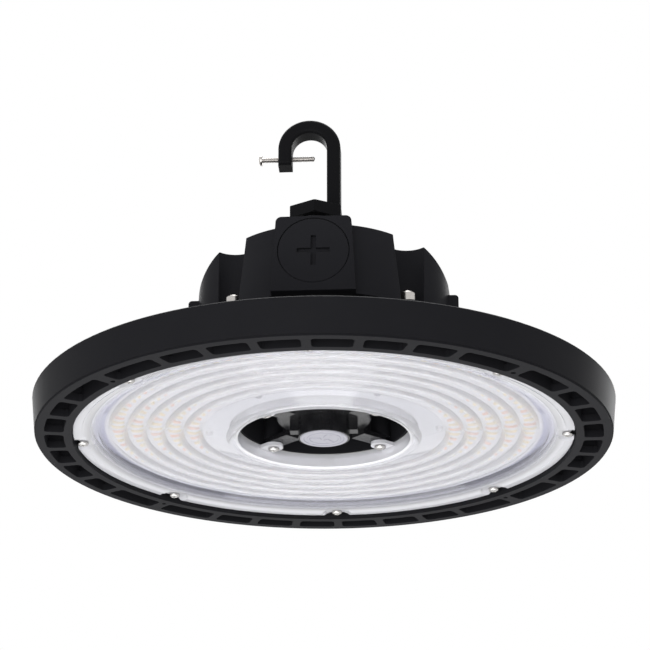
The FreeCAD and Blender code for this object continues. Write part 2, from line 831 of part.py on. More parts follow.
def box_outer():
    body = box_solid(0, housing_foot_z, box_top_z, box_front_y, box_back_y)

    def upper_side(edge):
        ends = [vertex.Point for vertex in edge.Vertexes]
        on_top = all(abs(p.z - box_top_z) < 1e-6 for p in ends)
        return on_top and abs(ends[0].x - ends[1].x) < 1e-6

    return body.makeFillet(box_corner_round, edges_where(body, upper_side))


def on_box_face(shape):
    """Moves a shape made round the plug's own axis (outwards along -Y, face at y=0) to the box."""
    height = box_top_z - housing_foot_z
    lean = degrees(asin(box_lean / hypot(height, box_lean)))
    share = (plug_center_z - housing_foot_z) / height
    placed = shape.copy()
    placed.rotate(AXIS, Vec(1, 0, 0), -lean)
    placed.translate(Vec(box_x, box_front_y + box_lean * share, plug_center_z))
    return placed


def plug_bore():
    head = Part.makeCylinder(plug_radius + plug_gap, plug_head_thickness + plug_ring_thickness + reach,
                             Vec(0, -reach, 0), Vec(0, 1, 0))
    thread = Part.makeCylinder(plug_thread_radius + plug_gap, plug_thread_length + 2 * reach,
                               Vec(0, 0, 0), Vec(0, 1, 0))
    return on_box_face(fuse([head, thread]))


def plug_bearing_wall():
    """Thicker wall behind the plug, so that its head and thread have metal round them."""
    depth = plug_head_thickness + plug_ring_thickness + plug_wall_depth
    pad = Part.makeCylinder(plug_radius + plug_wall, depth, Vec(0, merge, 0), Vec(0, 1, 0))
    return on_box_face(pad)


def driver_housing():
    outer = plan(0, housing_foot_z, housing_top_z).common(shoulders(0, housing_foot_z, housing_top_z))
    dome = turned([(0, housing_top_z - merge), (dome_foot_radius, housing_top_z - merge),
                   (dome_shoulder_radius, dome_shoulder_z), (0, dome_shoulder_z)])
    boss = cone(hook_boss_radius, hook_boss_radius - hook_boss_draft, dome_shoulder_z - merge,
                hook_boss_top_z, hook_x)
    lugs = []
    for x, y in mirrored(bolt_x, bolt_y):
        inward = hypot(x, y)
        web_end = -inward + bolt_pocket_radius + bolt_web_overlap
        web = block(-bolt_lug_radius, bolt_lug_radius, -inward, web_end, housing_foot_z, bolt_lug_top_z)
        lugs += [disc(bolt_lug_radius, housing_foot_z, bolt_lug_top_z, x, y),
                 turn(web, bearing_of(x, y))]
    body = fuse([outer, dome, boss, box_outer()] + lugs + side_pads())
    body = cut(body, [housing_cavity()])
    body = fuse([body, plug_bearing_wall()])
    neck_bore = disc(neck_radius + thread_clearance, neck_foot_z - reach, hook_boss_top_z + reach, hook_x)
    holes = [plug_bore(), neck_bore, grub_hole()]
    holes += [disc(bolt_radius + screw_hole_clearance, housing_foot_z - reach, bolt_lug_top_z + reach,
                   x, y) for x, y in mirrored(bolt_x, bolt_y)]
    return cut(body, holes)


def side_pads():
    pads = []
    for side in (-1, 1):
        x0, x1 = sorted((side * (lobe_offset + lobe_radius - side_pad_root), side * side_pad_x))
        pad = block(x0, x1, -side_pad_width / 2, side_pad_width / 2, housing_foot_z, side_pad_top_z)
        rounded = edges_where(pad, lambda e: all(
            abs(v.Point.z - side_pad_top_z) < 1e-6 and abs(abs(v.Point.x) - side_pad_x) < 1e-6
            for v in e.Vertexes))
        pads.append(pad.makeFillet(side_pad_round, rounded))
    return pads


def housing_cavity():
    """The space inside the housing: main chamber, lip opening, wiring box and room under the dome."""
    ceiling = housing_top_z - housing_wall
    chamber = plan(housing_wall, housing_foot_z + housing_lip_height, ceiling).common(
        shoulders(housing_wall, housing_foot_z, ceiling))
    opening = plan(housing_lip_inset, housing_foot_z - reach, housing_foot_z + housing_lip_height + merge)
    box = box_solid(housing_wall, housing_foot_z + housing_wall, box_top_z - housing_wall, box_front_y,
                    box_back_y - housing_wall)
    crown = cone(dome_foot_radius - 2 * housing_wall, dome_shoulder_radius - 2 * housing_wall,
                 ceiling - merge, dome_shoulder_z - 2 * housing_wall)
    return fuse([chamber, opening, box, crown])


def housing_gasket():
    outer = plan(housing_gasket_inset, deck_z, housing_foot_z)
    return outer.cut(plan(housing_gasket_inset + housing_gasket_width, deck_z - reach,
                          housing_foot_z + reach))


def housing_bolts():
    bolts = []
    for x, y in mirrored(bolt_x, bolt_y):
        top = bolt_head_foot_z + bolt_head_height
        head = disc(bolt_head_radius, bolt_head_foot_z, top, x, y)
        head = head.makeChamfer(bolt_head_chamfer, edges_where(head, lambda e: len(e.Vertexes) == 1
                                                               and abs(e.Vertexes[0].Point.z - top) < 1e-6))
        shank = disc(bolt_radius, bolt_head_foot_z - bolt_length, bolt_head_foot_z + merge, x, y)
        socket = hexagon(bolt_socket_flats, top - bolt_socket_depth, top + reach)
        socket.translate(Vec(x, y, 0))
        bolts.append(cut(fuse([head, shank]), [socket]))
    return Part.Compound(bolts)


def bolt_washers():
    inner = bolt_radius + screw_hole_clearance
    flat_top = bolt_lug_top_z + washer_thickness
    return Part.Compound([
        ring(inner, washer_radius, bolt_lug_top_z, flat_top, x, y)
        for x, y in mirrored(bolt_x, bolt_y)])


def bolt_spring_washers():
    inner = bolt_radius + screw_hole_clearance
    foot = bolt_lug_top_z + washer_thickness
    return Part.Compound([
        ring(inner, spring_washer_radius, foot, bolt_head_foot_z, x, y).cut(
            block(x, x + 2 * spring_washer_radius, y - spring_washer_slit / 2, y + spring_washer_slit / 2,
                  foot, bolt_head_foot_z))
        for x, y in mirrored(bolt_x, bolt_y)])


# ---- plug, hook and safety screw ----------------------------------------------------------------

def conduit_plug():
    """Screwed blanking plug: flush head with a cross slot, and its threaded body."""
    head = Part.makeCylinder(plug_radius, plug_head_thickness, Vec(0, 0, 0), Vec(0, 1, 0))
    head = head.makeChamfer(plug_head_chamfer, edges_where(head, lambda e: len(e.Vertexes) == 1
                                                           and abs(e.Vertexes[0].Point.y) < 1e-6))
    body = Part.makeCylinder(plug_thread_radius, plug_thread_length + merge,
                             Vec(0, plug_head_thickness - merge, 0), Vec(0, 1, 0))
    half = plug_cross_length / 2
    width = plug_cross_width / 2
    slots = [block(-half, half, -reach, plug_cross_depth, -width, width),
             block(-width, width, -reach, plug_cross_depth, -half, half)]
    return on_box_face(cut(fuse([head, body]), [fuse(slots)]))


def plug_o_ring():
    """Flat sealing ring between the plug's head and its seat."""
    seat = Vec(0, plug_head_thickness, 0)
    washer = Part.makeCylinder(plug_radius - plug_ring_outer_gap, plug_ring_thickness, seat, Vec(0, 1, 0))
    bore = Part.makeCylinder(plug_thread_radius + plug_ring_inner_gap, plug_ring_thickness, seat,
                             Vec(0, 1, 0))
    return on_box_face(washer.cut(bore))


def hexagon(flats, z0, z1):
    """Prism with two flats facing +-X."""
    radius = flats / 2 / cos(radians(30))
    corners = [Vec(radius * sin(radians(60 * i)), -radius * cos(radians(60 * i)), z0) for i in range(7)]
    return Part.Face(Part.makePolygon(corners)).extrude(UP * (z1 - z0))


def hook():
    """Hexagon, neck, shank, arch and tip of the eye hook in one piece."""
    corner_radius = hex_flats / 2 / cos(radians(30))
    bevel = turned([(0, hex_foot_z), (corner_radius - hex_chamfer, hex_foot_z),
                    (corner_radius, hex_foot_z + hex_chamfer * hex_bevel_slope),
                    (corner_radius, hex_top_z - hex_top_chamfer * hex_bevel_slope),
                    (corner_radius - hex_top_chamfer, hex_top_z), (0, hex_top_z)])
    hexagon_base = hexagon(hex_flats, hex_foot_z, hex_top_z).common(bevel)
    hexagon_base.translate(Vec(hook_x, 0, 0))
    outer = eye_radius + hook_thickness
    foot = hex_top_z - merge
    side = outline([
        (eye_x + outer, foot), (eye_x + outer, eye_z), (eye_x, eye_z + outer, "arc"),
        (eye_x - outer, eye_z), (eye_x - outer, tip_foot_z), (eye_x - eye_radius, tip_foot_z),
        (eye_x - eye_radius, eye_z), (eye_x, eye_z + eye_radius, "arc"),
        (eye_x + eye_radius, eye_z), (eye_x + eye_radius, foot)])
    face = Part.Face(side)
    face.translate(Vec(0, -hook_depth / 2, 0))
    eye = face.extrude(Vec(0, hook_depth, 0))
    eye = eye.makeFillet(hook_round, edges_where(eye, lambda e: all(
        v.Point.z > foot + 1e-3 or e.Length > hook_depth + 1 for v in e.Vertexes) and flat_in_y(e)))
    neck = disc(neck_radius, neck_foot_z, hex_foot_z + merge, hook_x)
    hole = rod_x(safety_shank_radius + thread_clearance, eye_x - outer - reach,
                 eye_x - eye_radius + reach, 0, safety_z)
    return cut(fuse([hexagon_base, eye, neck]), [hole])


def flat_in_y(edge):
    ys = [v.Point.y for v in edge.Vertexes]
    return max(ys) - min(ys) < 1e-6


def hook_seal():
    return ring(neck_radius + screw_hole_clearance, seal_radius, hook_boss_top_z,
                hook_boss_top_z + seal_thickness, hook_x)


def grub_hole():
    return grub_rod(grub_radius + thread_clearance, neck_radius - merge, hook_boss_radius + reach)


def grub_rod(radius, start, end):
    rod = turn(Part.makeCylinder(radius, end - start, Vec(0, -start, grub_z), Vec(0, -1, 0)), grub_angle)
    rod.translate(Vec(hook_x, 0, 0))
    return rod


def hook_grub_screw():
    start = neck_radius + thread_clearance
    screw = grub_rod(grub_radius, start, start + grub_length)
    socket = hexagon(grub_socket_flats, -grub_socket_depth, reach)
    socket.rotate(AXIS, Vec(1, 0, 0), 90)
    socket.translate(Vec(0, -(start + grub_length), grub_z))
    socket = turn(socket, grub_angle)
    socket.translate(Vec(hook_x, 0, 0))
    return screw.cut(socket)


def safety_screw():
    """Pan-head screw through the hook's tip, along X."""
    head = pan_head(safety_head_radius, safety_head_height, 0)
    screw = fuse([head, disc(safety_shank_radius, -merge, safety_length)])
    screw.rotate(AXIS, Vec(0, 1, 0), 90)
    screw.translate(Vec(eye_x - eye_radius - hook_thickness - safety_showing, 0, safety_z))
    return screw


# ---- driver inside --------------------------------------------------------------------------------

def driver_standoffs():
    bore = driver_screw_radius + thread_clearance
    return Part.Compound([ring(bore, standoff_radius, drum_floor_z, drum_floor_z + standoff_height, x, y)
                          for x, y in mirrored(standoff_x, standoff_y)])


def driver_board():
    board = block(-driver_board_length / 2, driver_board_length / 2, -driver_board_width / 2,
                  driver_board_width / 2, driver_board_foot_z, driver_board_top_z)
    return cut(board, [disc(driver_screw_radius + thread_clearance, driver_board_foot_z - reach,
                            driver_board_top_z + reach, x, y)
                       for x, y in mirrored(standoff_x, standoff_y)])


def driver_screws():
    top = driver_board_top_z
    return Part.Compound([
        fuse([disc(driver_screw_head_radius, top, top + driver_screw_head_height, x, y),
              disc(driver_screw_radius, drum_floor_z - driver_screw_depth, top + merge, x, y)])
        for x, y in mirrored(standoff_x, standoff_y)])


def driver_transformer():
    length, width, height = transformer_size
    x, y = transformer_place
    top = driver_board_top_z
    core = block(x - length / 2, x + length / 2, y - width / 2, y + width / 2, top, top + height)
    span = length / 2 - transformer_leg
    deep = width / 2 - transformer_coil_inset
    low = top + transformer_yoke
    high = top + height - transformer_yoke
    window = block(x - span, x + span, y - width / 2 - reach, y + width / 2 + reach, low, high)
    coil = block(x - span, x + span, y - deep, y + deep, low, high)
    return fuse([core.cut(window), coil])


def driver_capacitors():
    top = driver_board_top_z
    return Part.Compound([disc(capacitor_radius, top, top + capacitor_height, x, y)
                          for x, y in capacitor_places])


def driver_choke():
    top = driver_board_top_z
    x, y = choke_place
    return ring(choke_bore, choke_radius, top, top + choke_height, x, y)


def terminal_block():
    """Mains terminals on the driver board, with three wire entries facing the wiring box."""
    length, width, height = terminal_size
    x, y = terminal_place
    foot = driver_board_top_z
    front = y - width / 2
    entry_z = foot + height * terminal_entry_share
    body = block(x - length / 2, x + length / 2, front, front + width, foot, foot + height)
    entries = [Part.makeCylinder(terminal_entry_radius, terminal_entry_depth + reach,
                                 Vec(x + i * length / 3, front - reach, entry_z), Vec(0, 1, 0))
               for i in (-1, 0, 1)]
    return cut(body, entries)


# ---- output -----------------------------------------------------------------------------------------

parts = {
    "heat_sink": heat_sink,
    "lens": lens,
    "lens_gasket_outer": lens_gasket_outer,
    "lens_gasket_inner": lens_gasket_inner,
    "lens_screws_outer": lens_screws_outer,
    "lens_screws_inner": lens_screws_inner,
    "led_board": led_board,
    "thermal_pad": thermal_pad,
    "leds_warm": lambda: leds(True),
    "leds_neutral": lambda: leds(False),
    "board_screws": board_screws,
    "board_connector": board_connector,
    "sensor_port": sensor_port,
    "sensor_cap": sensor_cap,
    "driver_housing": driver_housing,
    "housing_gasket": housing_gasket,
    "housing_bolts": housing_bolts,
    "bolt_washers": bolt_washers,
    "bolt_spring_washers": bolt_spring_washers,
    "conduit_plug": conduit_plug,
    "plug_seal": plug_o_ring,
    "hook": hook,
    "hook_seal": hook_seal,
    "hook_grub_screw": hook_grub_screw,
    "safety_screw": safety_screw,
    "driver_standoffs": driver_standoffs,
    "driver_board": driver_board,
    "driver_screws": driver_screws,
    "driver_transformer": driver_transformer,
    "driver_capacitors": driver_capacitors,
    "driver_choke": driver_choke,
    "terminal_block": terminal_block,
}

os.makedirs("parts", exist_ok=True)
for name, build in parts.items():
    shape = build()
    if not shape.isValid():
        print("invalid shape:", name)
    shape.exportStep("parts/" + name + ".step")
    print(name, "solids", len(shape.Solids), "volume", round(shape.Volume, 1))
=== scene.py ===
"""Looks of a round high bay light: finishes, fastener detail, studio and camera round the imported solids."""
import json
import math
import bpy
from mathutils import Matrix, Vector

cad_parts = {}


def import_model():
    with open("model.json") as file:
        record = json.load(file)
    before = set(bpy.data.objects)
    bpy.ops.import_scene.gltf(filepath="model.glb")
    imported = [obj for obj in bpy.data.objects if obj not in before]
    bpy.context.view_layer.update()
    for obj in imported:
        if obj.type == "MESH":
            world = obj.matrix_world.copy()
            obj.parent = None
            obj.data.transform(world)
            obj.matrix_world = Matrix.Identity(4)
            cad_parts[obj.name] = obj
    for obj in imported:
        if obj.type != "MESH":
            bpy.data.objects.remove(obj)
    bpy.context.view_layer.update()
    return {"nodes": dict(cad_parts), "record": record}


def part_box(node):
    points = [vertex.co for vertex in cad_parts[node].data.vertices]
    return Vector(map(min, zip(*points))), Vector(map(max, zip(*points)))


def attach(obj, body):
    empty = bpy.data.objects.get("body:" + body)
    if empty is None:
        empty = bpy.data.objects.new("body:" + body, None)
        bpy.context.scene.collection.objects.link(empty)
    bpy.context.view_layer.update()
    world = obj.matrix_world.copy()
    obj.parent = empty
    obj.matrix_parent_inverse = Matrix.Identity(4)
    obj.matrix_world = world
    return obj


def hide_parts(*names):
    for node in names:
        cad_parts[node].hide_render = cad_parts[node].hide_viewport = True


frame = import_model()

MM = 0.001
WHITE = (1.0, 1.0, 1.0)

# Studio: light that falls from above and from below, and how much the floor shines to the eye
STUDIO_ABOVE = (0.30, 0.305, 0.325)
STUDIO_BELOW = WHITE
PALE_UNDER, DARK_OVER = -0.35, 0.1      # height of a direction where the pale and the dark part begin
LAMP_AIM = (0.0, 0.0, 0.08)
FLOOR_HALF = 1.2
FLOOR_HEIGHT = -2.4
FLOOR_GLOW = 0.45

# Clear moulding: where the hub wall ends and the slope outside the ridges lies, and how clear each is
HUB_RADIUS = 60.0 * MM
SLOPE_INNER, SLOPE_OUTER = 148.0 * MM, 157.5 * MM
CLEAR_RIDGES, CLEAR_SLOPE = 0.78, 0.93
HUB_MILK, FLANGE_MILK = 0.35, 0.25      # what the hub wall and the flange lose against the ridges
# painted shade: the moulding's lavender tint, made darker on the slope outside the ridges
SLOPE_SHADE_TINT = (0.77, 0.775, 0.92, 1.0)
POLYCARBONATE_IOR = 1.5

# Coats and mouldings
COAT_SPECULAR = 0.035
COAT_ROUNDING = 0.6 * MM
MOULDING_SPECULAR = 0.4

# Screws, as their sizes in the solids
LENS_SCREW_HEAD, LENS_SCREW_HEAD_HEIGHT, LENS_SCREW_SHANK = 4.0 * MM, 2.6 * MM, 1.9 * MM
LENS_SCREW_COUNT = 8
SAFETY_HEAD_HEIGHT, SAFETY_SHANK = 2.9 * MM, 2.0 * MM
THREAD_PITCH = 0.7 * MM
THREAD_DEPTH = 0.6                      # share of the pitch
THREAD_STEPS = 6                        # rows of the mesh in one pitch
SCREW_SIDES, SCREW_RINGS = 64, 26
HEAD_SHOULDER = 0.42                    # height of the dome's edge, as a share of the head's height
DOME_POWER = 2.4
DOME_EDGE = 0.985                       # share of the head's radius
HEAD_PROFILE = ((1.0, -0.36), (1.0, -0.06), (0.97, 0.0))    # shares of the head's radius and height
RECESS_REACH, RECESS_DEPTH = 0.5, 0.62  # shares of the head's radius and height
RECESS_HALF_WIDTH, RECESS_TAPER = 0.19, 0.1                 # shares of the recess's reach
RECESS_FLANK, RECESS_RISE = 1.4, 2.2    # how steep the recess's flanks and its outer ends are
THREAD_START = 0.02 * MM
POINT_LENGTH, POINT_RADIUS = 0.4, 0.6   # shares of the shank's radius

# Cap, with the parts of its relief as shares of its radius
CAP_SIDES, CAP_RINGS = 96, 60
CAP_STEP = 0.5 * MM
CAP_CHAMFER = 0.4 * MM
CAP_RIM_FROM = 0.86
CAP_RING = (0.62, 0.70)
CAP_ARM = (0.14, 0.56)
CAP_ARM_HALF_WIDTH = 0.05
CAP_ARMS = 3
CAP_RING_RISE, CAP_ARM_RISE = 0.7, 0.9  # shares of the step
CAP_FACE_EDGE = 0.97

# Camera: as someone on the floor in front looks up at the light
CAMERA_PLACE = (0.0814, -1.3665, -0.4822)
CAMERA_FORWARD = (-0.05443, 0.92167, 0.38413)
FOCAL_LENGTH, SENSOR_WIDTH = 118.4, 36.0


# ---------------------------------------------------------------- shader building blocks

def new_material(name):
    """A material with a Principled shader joined to its output."""
    material = bpy.data.materials.new(name)
    material.use_nodes = True
    tree = material.node_tree
    tree.nodes.clear()
    output = tree.nodes.new("ShaderNodeOutputMaterial")
    shader = tree.nodes.new("ShaderNodeBsdfPrincipled")
    tree.links.new(shader.outputs["BSDF"], output.inputs["Surface"])
    return material, tree, shader


def feed(tree, node, sockets):
    """Fills the node's sockets, each from a value or from another socket."""
    for key, value in sockets.items():
        if isinstance(value, bpy.types.NodeSocket):
            tree.links.new(value, node.inputs[key])
        else:
            node.inputs[key].default_value = value


def add(tree, kind, sockets=None, **settings):
    """Adds a node of that kind, sets its properties and fills its sockets."""
    node = tree.nodes.new(kind)
    for key, value in settings.items():
        setattr(node, key, value)
    feed(tree, node, sockets or {})
    return node


def fill(tree, shader, **sockets):
    """Fills the shader's sockets, named with _ for each space."""
    feed(tree, shader, {key.replace("_", " "): value for key, value in sockets.items()})


def position(tree):
    return add(tree, "ShaderNodeTexCoord").outputs["Object"]


def noise(tree, size, detail=3.0, roughness=0.55):
    """Noise whose grains are about that size in metres, from 0 to 1."""
    return add(tree, "ShaderNodeTexNoise", {"Vector": position(tree), "Scale": 1.0 / size,
                                            "Detail": detail, "Roughness": roughness}).outputs["Fac"]


def mapped(tree, value, low, high, from_low=0.0, from_high=1.0):
    """Low to high as value goes from from_low to from_high, and held at both ends."""
    return add(tree, "ShaderNodeMapRange", {"Value": value, "From Min": from_low, "From Max": from_high,
                                            "To Min": low, "To Max": high}).outputs["Result"]


def computed(tree, operation, first, second):
    return add(tree, "ShaderNodeMath", {0: first, 1: second}, operation=operation).outputs[0]


def blended(tree, value, first, second):
    """Colour between first and second as value goes from 0 to 1."""
    ramp = add(tree, "ShaderNodeValToRGB", {"Fac": value})
    ramp.color_ramp.elements[0].color = (*first, 1.0)
    ramp.color_ramp.elements[1].color = (*second, 1.0)
    return ramp.outputs["Color"]


def bump(tree, height, depth, strength, normal=None):
    sockets = {"Height": height, "Distance": depth, "Strength": strength}
    if normal is not None:
        sockets["Normal"] = normal
    return add(tree, "ShaderNodeBump", sockets).outputs["Normal"]


def seen_directly(tree):
    """One for what the eye, a gloss or a clear part sees, and zero for light that falls on a surface."""
    rays = add(tree, "ShaderNodeLightPath").outputs
    mirrored = computed(tree, "MAXIMUM", rays["Is Glossy Ray"], rays["Is Transmission Ray"])
    return computed(tree, "MAXIMUM", rays["Is Camera Ray"], mirrored)


# ---------------------------------------------------------------- finishes

def powder_coat(name, tones, rough, grain=0.35 * MM):
    """Matt powder coat: fine orange peel, slight colour drift and edges rounded by the coat."""
    material, tree, shader = new_material(name)
    drift = noise(tree, 30 * MM, detail=4.0)
    speckle = noise(tree, grain, detail=2.0)
    peel = noise(tree, 1.6 * MM, detail=2.0)
    rounded = add(tree, "ShaderNodeBevel", {"Radius": COAT_ROUNDING}, samples=4).outputs["Normal"]
    coat = bump(tree, speckle, 0.02 * MM, 0.6, bump(tree, peel, 0.05 * MM, 0.35, rounded))
    fill(tree, shader, Base_Color=blended(tree, drift, *tones), Roughness=mapped(tree, speckle, *rough),
         Normal=coat, Specular_IOR_Level=COAT_SPECULAR)
    return material


def milky_plastic(name, tones, rough):
    """Moulded polycarbonate: milky hub wall and flange, hazy ridges, and a clearer slope whose lavender tint
    is deepened there as painted shade.
    """
    material, tree, shader = new_material(name)
    haze = noise(tree, 12 * MM)
    ripple = noise(tree, 14 * MM, detail=0.0)
    axes = add(tree, "ShaderNodeSeparateXYZ", {"Vector": position(tree)}).outputs
    flat = add(tree, "ShaderNodeCombineXYZ", {"X": axes["X"], "Y": axes["Y"]}).outputs["Vector"]
    radius = add(tree, "ShaderNodeVectorMath", {0: flat}, operation="LENGTH").outputs["Value"]

    past_ridges = mapped(tree, radius, 0.0, 1.0, SLOPE_INNER - 1.0 * MM, SLOPE_INNER + 1.5 * MM)
    before_flange = mapped(tree, radius, 1.0, 0.0, SLOPE_INNER + 2.0 * MM, SLOPE_OUTER + 1.0 * MM)
    slope = computed(tree, "MULTIPLY", past_ridges, before_flange)
    hub = mapped(tree, radius, HUB_MILK, 0.0, HUB_RADIUS - 0.5 * MM, HUB_RADIUS + 1.5 * MM)
    flange = mapped(tree, radius, 0.0, FLANGE_MILK, SLOPE_OUTER - 3.0 * MM, SLOPE_OUTER + 3.0 * MM)
    milk = computed(tree, "ADD", hub, flange)
    clear = computed(tree, "SUBTRACT", mapped(tree, slope, CLEAR_RIDGES, CLEAR_SLOPE), milk)

    body = blended(tree, haze, *tones)
    # painted shade: the slope takes a darker lavender than the rest of the moulding
    slope_shaded = add(tree, "ShaderNodeMixRGB", {"Fac": slope, "Color1": body, "Color2": SLOPE_SHADE_TINT})
    fill(tree, shader, Base_Color=slope_shaded.outputs["Color"], IOR=POLYCARBONATE_IOR,
         Roughness=mapped(tree, haze, *rough), Normal=bump(tree, ripple, 0.01 * MM, 0.1),
         Transmission_Weight=clear)
    return material


def soft_solid(name, tones, rough, grain, depth):
    """Plastic, rubber or mask: two close tones in fine grain, with a shallow bump."""
    material, tree, shader = new_material(name)
    drift = noise(tree, 20 * MM)
    speckle = noise(tree, grain, detail=2.0)
    fill(tree, shader, Base_Color=blended(tree, drift, *tones), Roughness=mapped(tree, speckle, *rough),
         Normal=bump(tree, speckle, depth, 0.5), Specular_IOR_Level=MOULDING_SPECULAR)
    return material


def moulded_cap(name, shadow, face):
    """Satin moulding whose relief has painted shade darkening it along its inner corners."""
    material, tree, shader = new_material(name)
    pointiness = add(tree, "ShaderNodeNewGeometry").outputs["Pointiness"]
    # painted shade: the inner corners of the relief are darkened from pointiness, where shade would fall
    painted_corner_shade = mapped(tree, pointiness, 0.0, 1.0, 0.44, 0.5)
    speckle = noise(tree, 0.5 * MM, detail=2.0)
    fill(tree, shader, Base_Color=blended(tree, painted_corner_shade, shadow, face),
         Roughness=mapped(tree, speckle, 0.32, 0.42), Normal=bump(tree, speckle, 0.02 * MM, 0.5),
         Specular_IOR_Level=MOULDING_SPECULAR)
    return material


def bare_metal(name, tones, rough, grain):
    """Plated or turned metal with fine wear and a faint drift in tone."""
    material, tree, shader = new_material(name)
    drift = noise(tree, 4 * MM, detail=4.0)
    scuffs = noise(tree, grain, detail=5.0, roughness=0.7)
    fill(tree, shader, Base_Color=blended(tree, drift, *tones), Metallic=1.0,
         Roughness=mapped(tree, scuffs, *rough), Normal=bump(tree, scuffs, 0.01 * MM, 0.4))
    return material


# How each finish is made, its two tones, its range of roughness, and its grain and bump depth in mm;
# the cap has the tones of its painted shadows and of its face instead. The names are the record's material
# slots, and the housing above the heat sink gets a copy of the black coat made paler, as painted light.
FINISHES = {
    "black_casting": (powder_coat, ((0.0108, 0.0108, 0.0126), (0.0136, 0.0136, 0.0154)), (0.44, 0.56)),
    # painted light: the black powder coat again, made paler for the housing above the heat sink
    "housing_painted_light_coat": (powder_coat, ((0.0155, 0.0155, 0.018), (0.019, 0.019, 0.0215)), (0.44, 0.56)),
    "black_hook": (powder_coat, ((0.0065, 0.0065, 0.0072), (0.0085, 0.0085, 0.0095)), (0.4, 0.52), 0.5),
    "clear_lens": (milky_plastic, ((0.93, 0.93, 0.97), (0.955, 0.955, 0.99)), (0.075, 0.105)),
    "silicone": (soft_solid, ((0.5, 0.5, 0.5), (0.58, 0.58, 0.58)), (0.5, 0.65), 0.6, 0.02),
    "black_rubber": (soft_solid, ((0.012, 0.012, 0.012), (0.02, 0.02, 0.02)), (0.6, 0.75), 0.5, 0.03),
    "chrome_screw": (bare_metal, ((0.4, 0.39, 0.38), (0.52, 0.51, 0.5)), (0.12, 0.22), 0.5),
    "stainless": (bare_metal, ((0.44, 0.42, 0.4), (0.56, 0.54, 0.52)), (0.2, 0.36), 0.4),
    "white_board": (soft_solid, ((0.84, 0.84, 0.86), (0.88, 0.88, 0.9)), (0.4, 0.5), 0.8, 0.01),
    "graphite_sheet": (soft_solid, ((0.16, 0.16, 0.17), (0.2, 0.2, 0.21)), (0.5, 0.6), 0.4, 0.01),
    "warm_phosphor": (soft_solid, ((0.9, 0.33, 0.08), (0.95, 0.4, 0.12)), (0.4, 0.5), 0.3, 0.02),
    "neutral_phosphor": (soft_solid, ((0.93, 0.66, 0.13), (0.97, 0.74, 0.2)), (0.4, 0.5), 0.3, 0.02),
    "white_plastic": (soft_solid, ((0.76, 0.76, 0.74), (0.82, 0.82, 0.8)), (0.35, 0.45), 0.5, 0.02),
    "black_plastic": (soft_solid, ((0.008, 0.008, 0.009), (0.013, 0.013, 0.0145)), (0.2, 0.32), 0.4, 0.015),
    "grey_cap": (moulded_cap, (0.10, 0.11, 0.17), (0.36, 0.355, 0.4)),
    "green_board": (soft_solid, ((0.03, 0.2, 0.07), (0.05, 0.26, 0.1)), (0.3, 0.4), 0.5, 0.01),
    "ferrite": (soft_solid, ((0.07, 0.07, 0.07), (0.12, 0.12, 0.12)), (0.55, 0.7), 0.5, 0.03),
    "capacitor_sleeve": (soft_solid, ((0.03, 0.035, 0.09), (0.05, 0.06, 0.12)), (0.25, 0.35), 1.0, 0.01),
    "brass": (bare_metal, ((0.62, 0.43, 0.15), (0.72, 0.52, 0.2)), (0.22, 0.36), 0.4),
}
# painted light: these nodes get a paler copy of the black powder coat
PAINTED_LIGHT_COAT_NODES = ("driver_housing", "conduit_plug")


def finish_materials():
    """All the finishes by name; the sizes that follow their tones and roughness turn from mm to m."""
    made = {}
    for name, (maker, first, second, *sizes) in FINISHES.items():
        made[name] = maker(name, first, second, *[size * MM for size in sizes])
    return made


def dress_nodes(made):
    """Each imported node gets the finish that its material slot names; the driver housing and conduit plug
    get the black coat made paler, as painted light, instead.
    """
    for subpart in frame["record"]["subparts"]:
        node = frame["nodes"][subpart["node"]]
        painted_light = subpart["node"] in PAINTED_LIGHT_COAT_NODES
        finish = made["housing_painted_light_coat" if painted_light else subpart["material_slot"]]
        if not node.material_slots:
            node.data.materials.append(finish)
        for slot in node.material_slots:
            slot.material = finish


# ---------------------------------------------------------------- screws and cap

def skin(name, loops, first_tip, last_tip, finish):
    """Mesh over closed loops of equal length, closed by a point at each end."""
    count = len(loops[0])
    vertices = [point for loop in loops for point in loop] + [first_tip, last_tip]
    faces = []
    for row in range(len(loops) - 1):
        for i in range(count):
            a, b = row * count + i, row * count + (i + 1) % count
            faces.append((a, b, b + count, a + count))
    last = (len(loops) - 1) * count
    for i in range(count):
        after = (i + 1) % count
        faces.append((after, i, len(vertices) - 2))
        faces.append((last + i, last + after, len(vertices) - 1))
    mesh = bpy.data.meshes.new(name)
    mesh.from_pydata(vertices, [], faces)
    mesh.polygons.foreach_set("use_smooth", [True] * len(faces))
    mesh.materials.append(finish)
    return mesh


def polar(radius, bearing, z):
    return radius * math.cos(bearing), radius * math.sin(bearing), z


def loop_at(radius, height, count):
    """Closed loop round Z; height may depend on the radius and the bearing."""
    loop = []
    for i in range(count):
        bearing = 2 * math.pi * i / count
        z = height(radius, bearing) if callable(height) else height
        loop.append(polar(radius, bearing, z))
    return loop


def thread_loops(start, end, radius):
    """Loops of a screw thread; the ridge climbs one pitch a turn and fades out at start and end."""
    depth = THREAD_DEPTH * THREAD_PITCH
    loops = []
    rows = max(2, round((end - start) / THREAD_PITCH * THREAD_STEPS))
    for row in range(rows + 1):
        z = start + (end - start) * row / rows
        fade = min(1.0, row / THREAD_STEPS, (rows - row) / THREAD_STEPS)
        loop = []
        for i in range(SCREW_SIDES):
            phase = (z / THREAD_PITCH - i / SCREW_SIDES) % 1.0
            groove = abs(2 * phase - 1)
            r = radius - depth * groove * fade - depth * (1 - fade) * 0.5
            loop.append(polar(r, 2 * math.pi * i / SCREW_SIDES, z))
        loops.append(loop)
    return loops


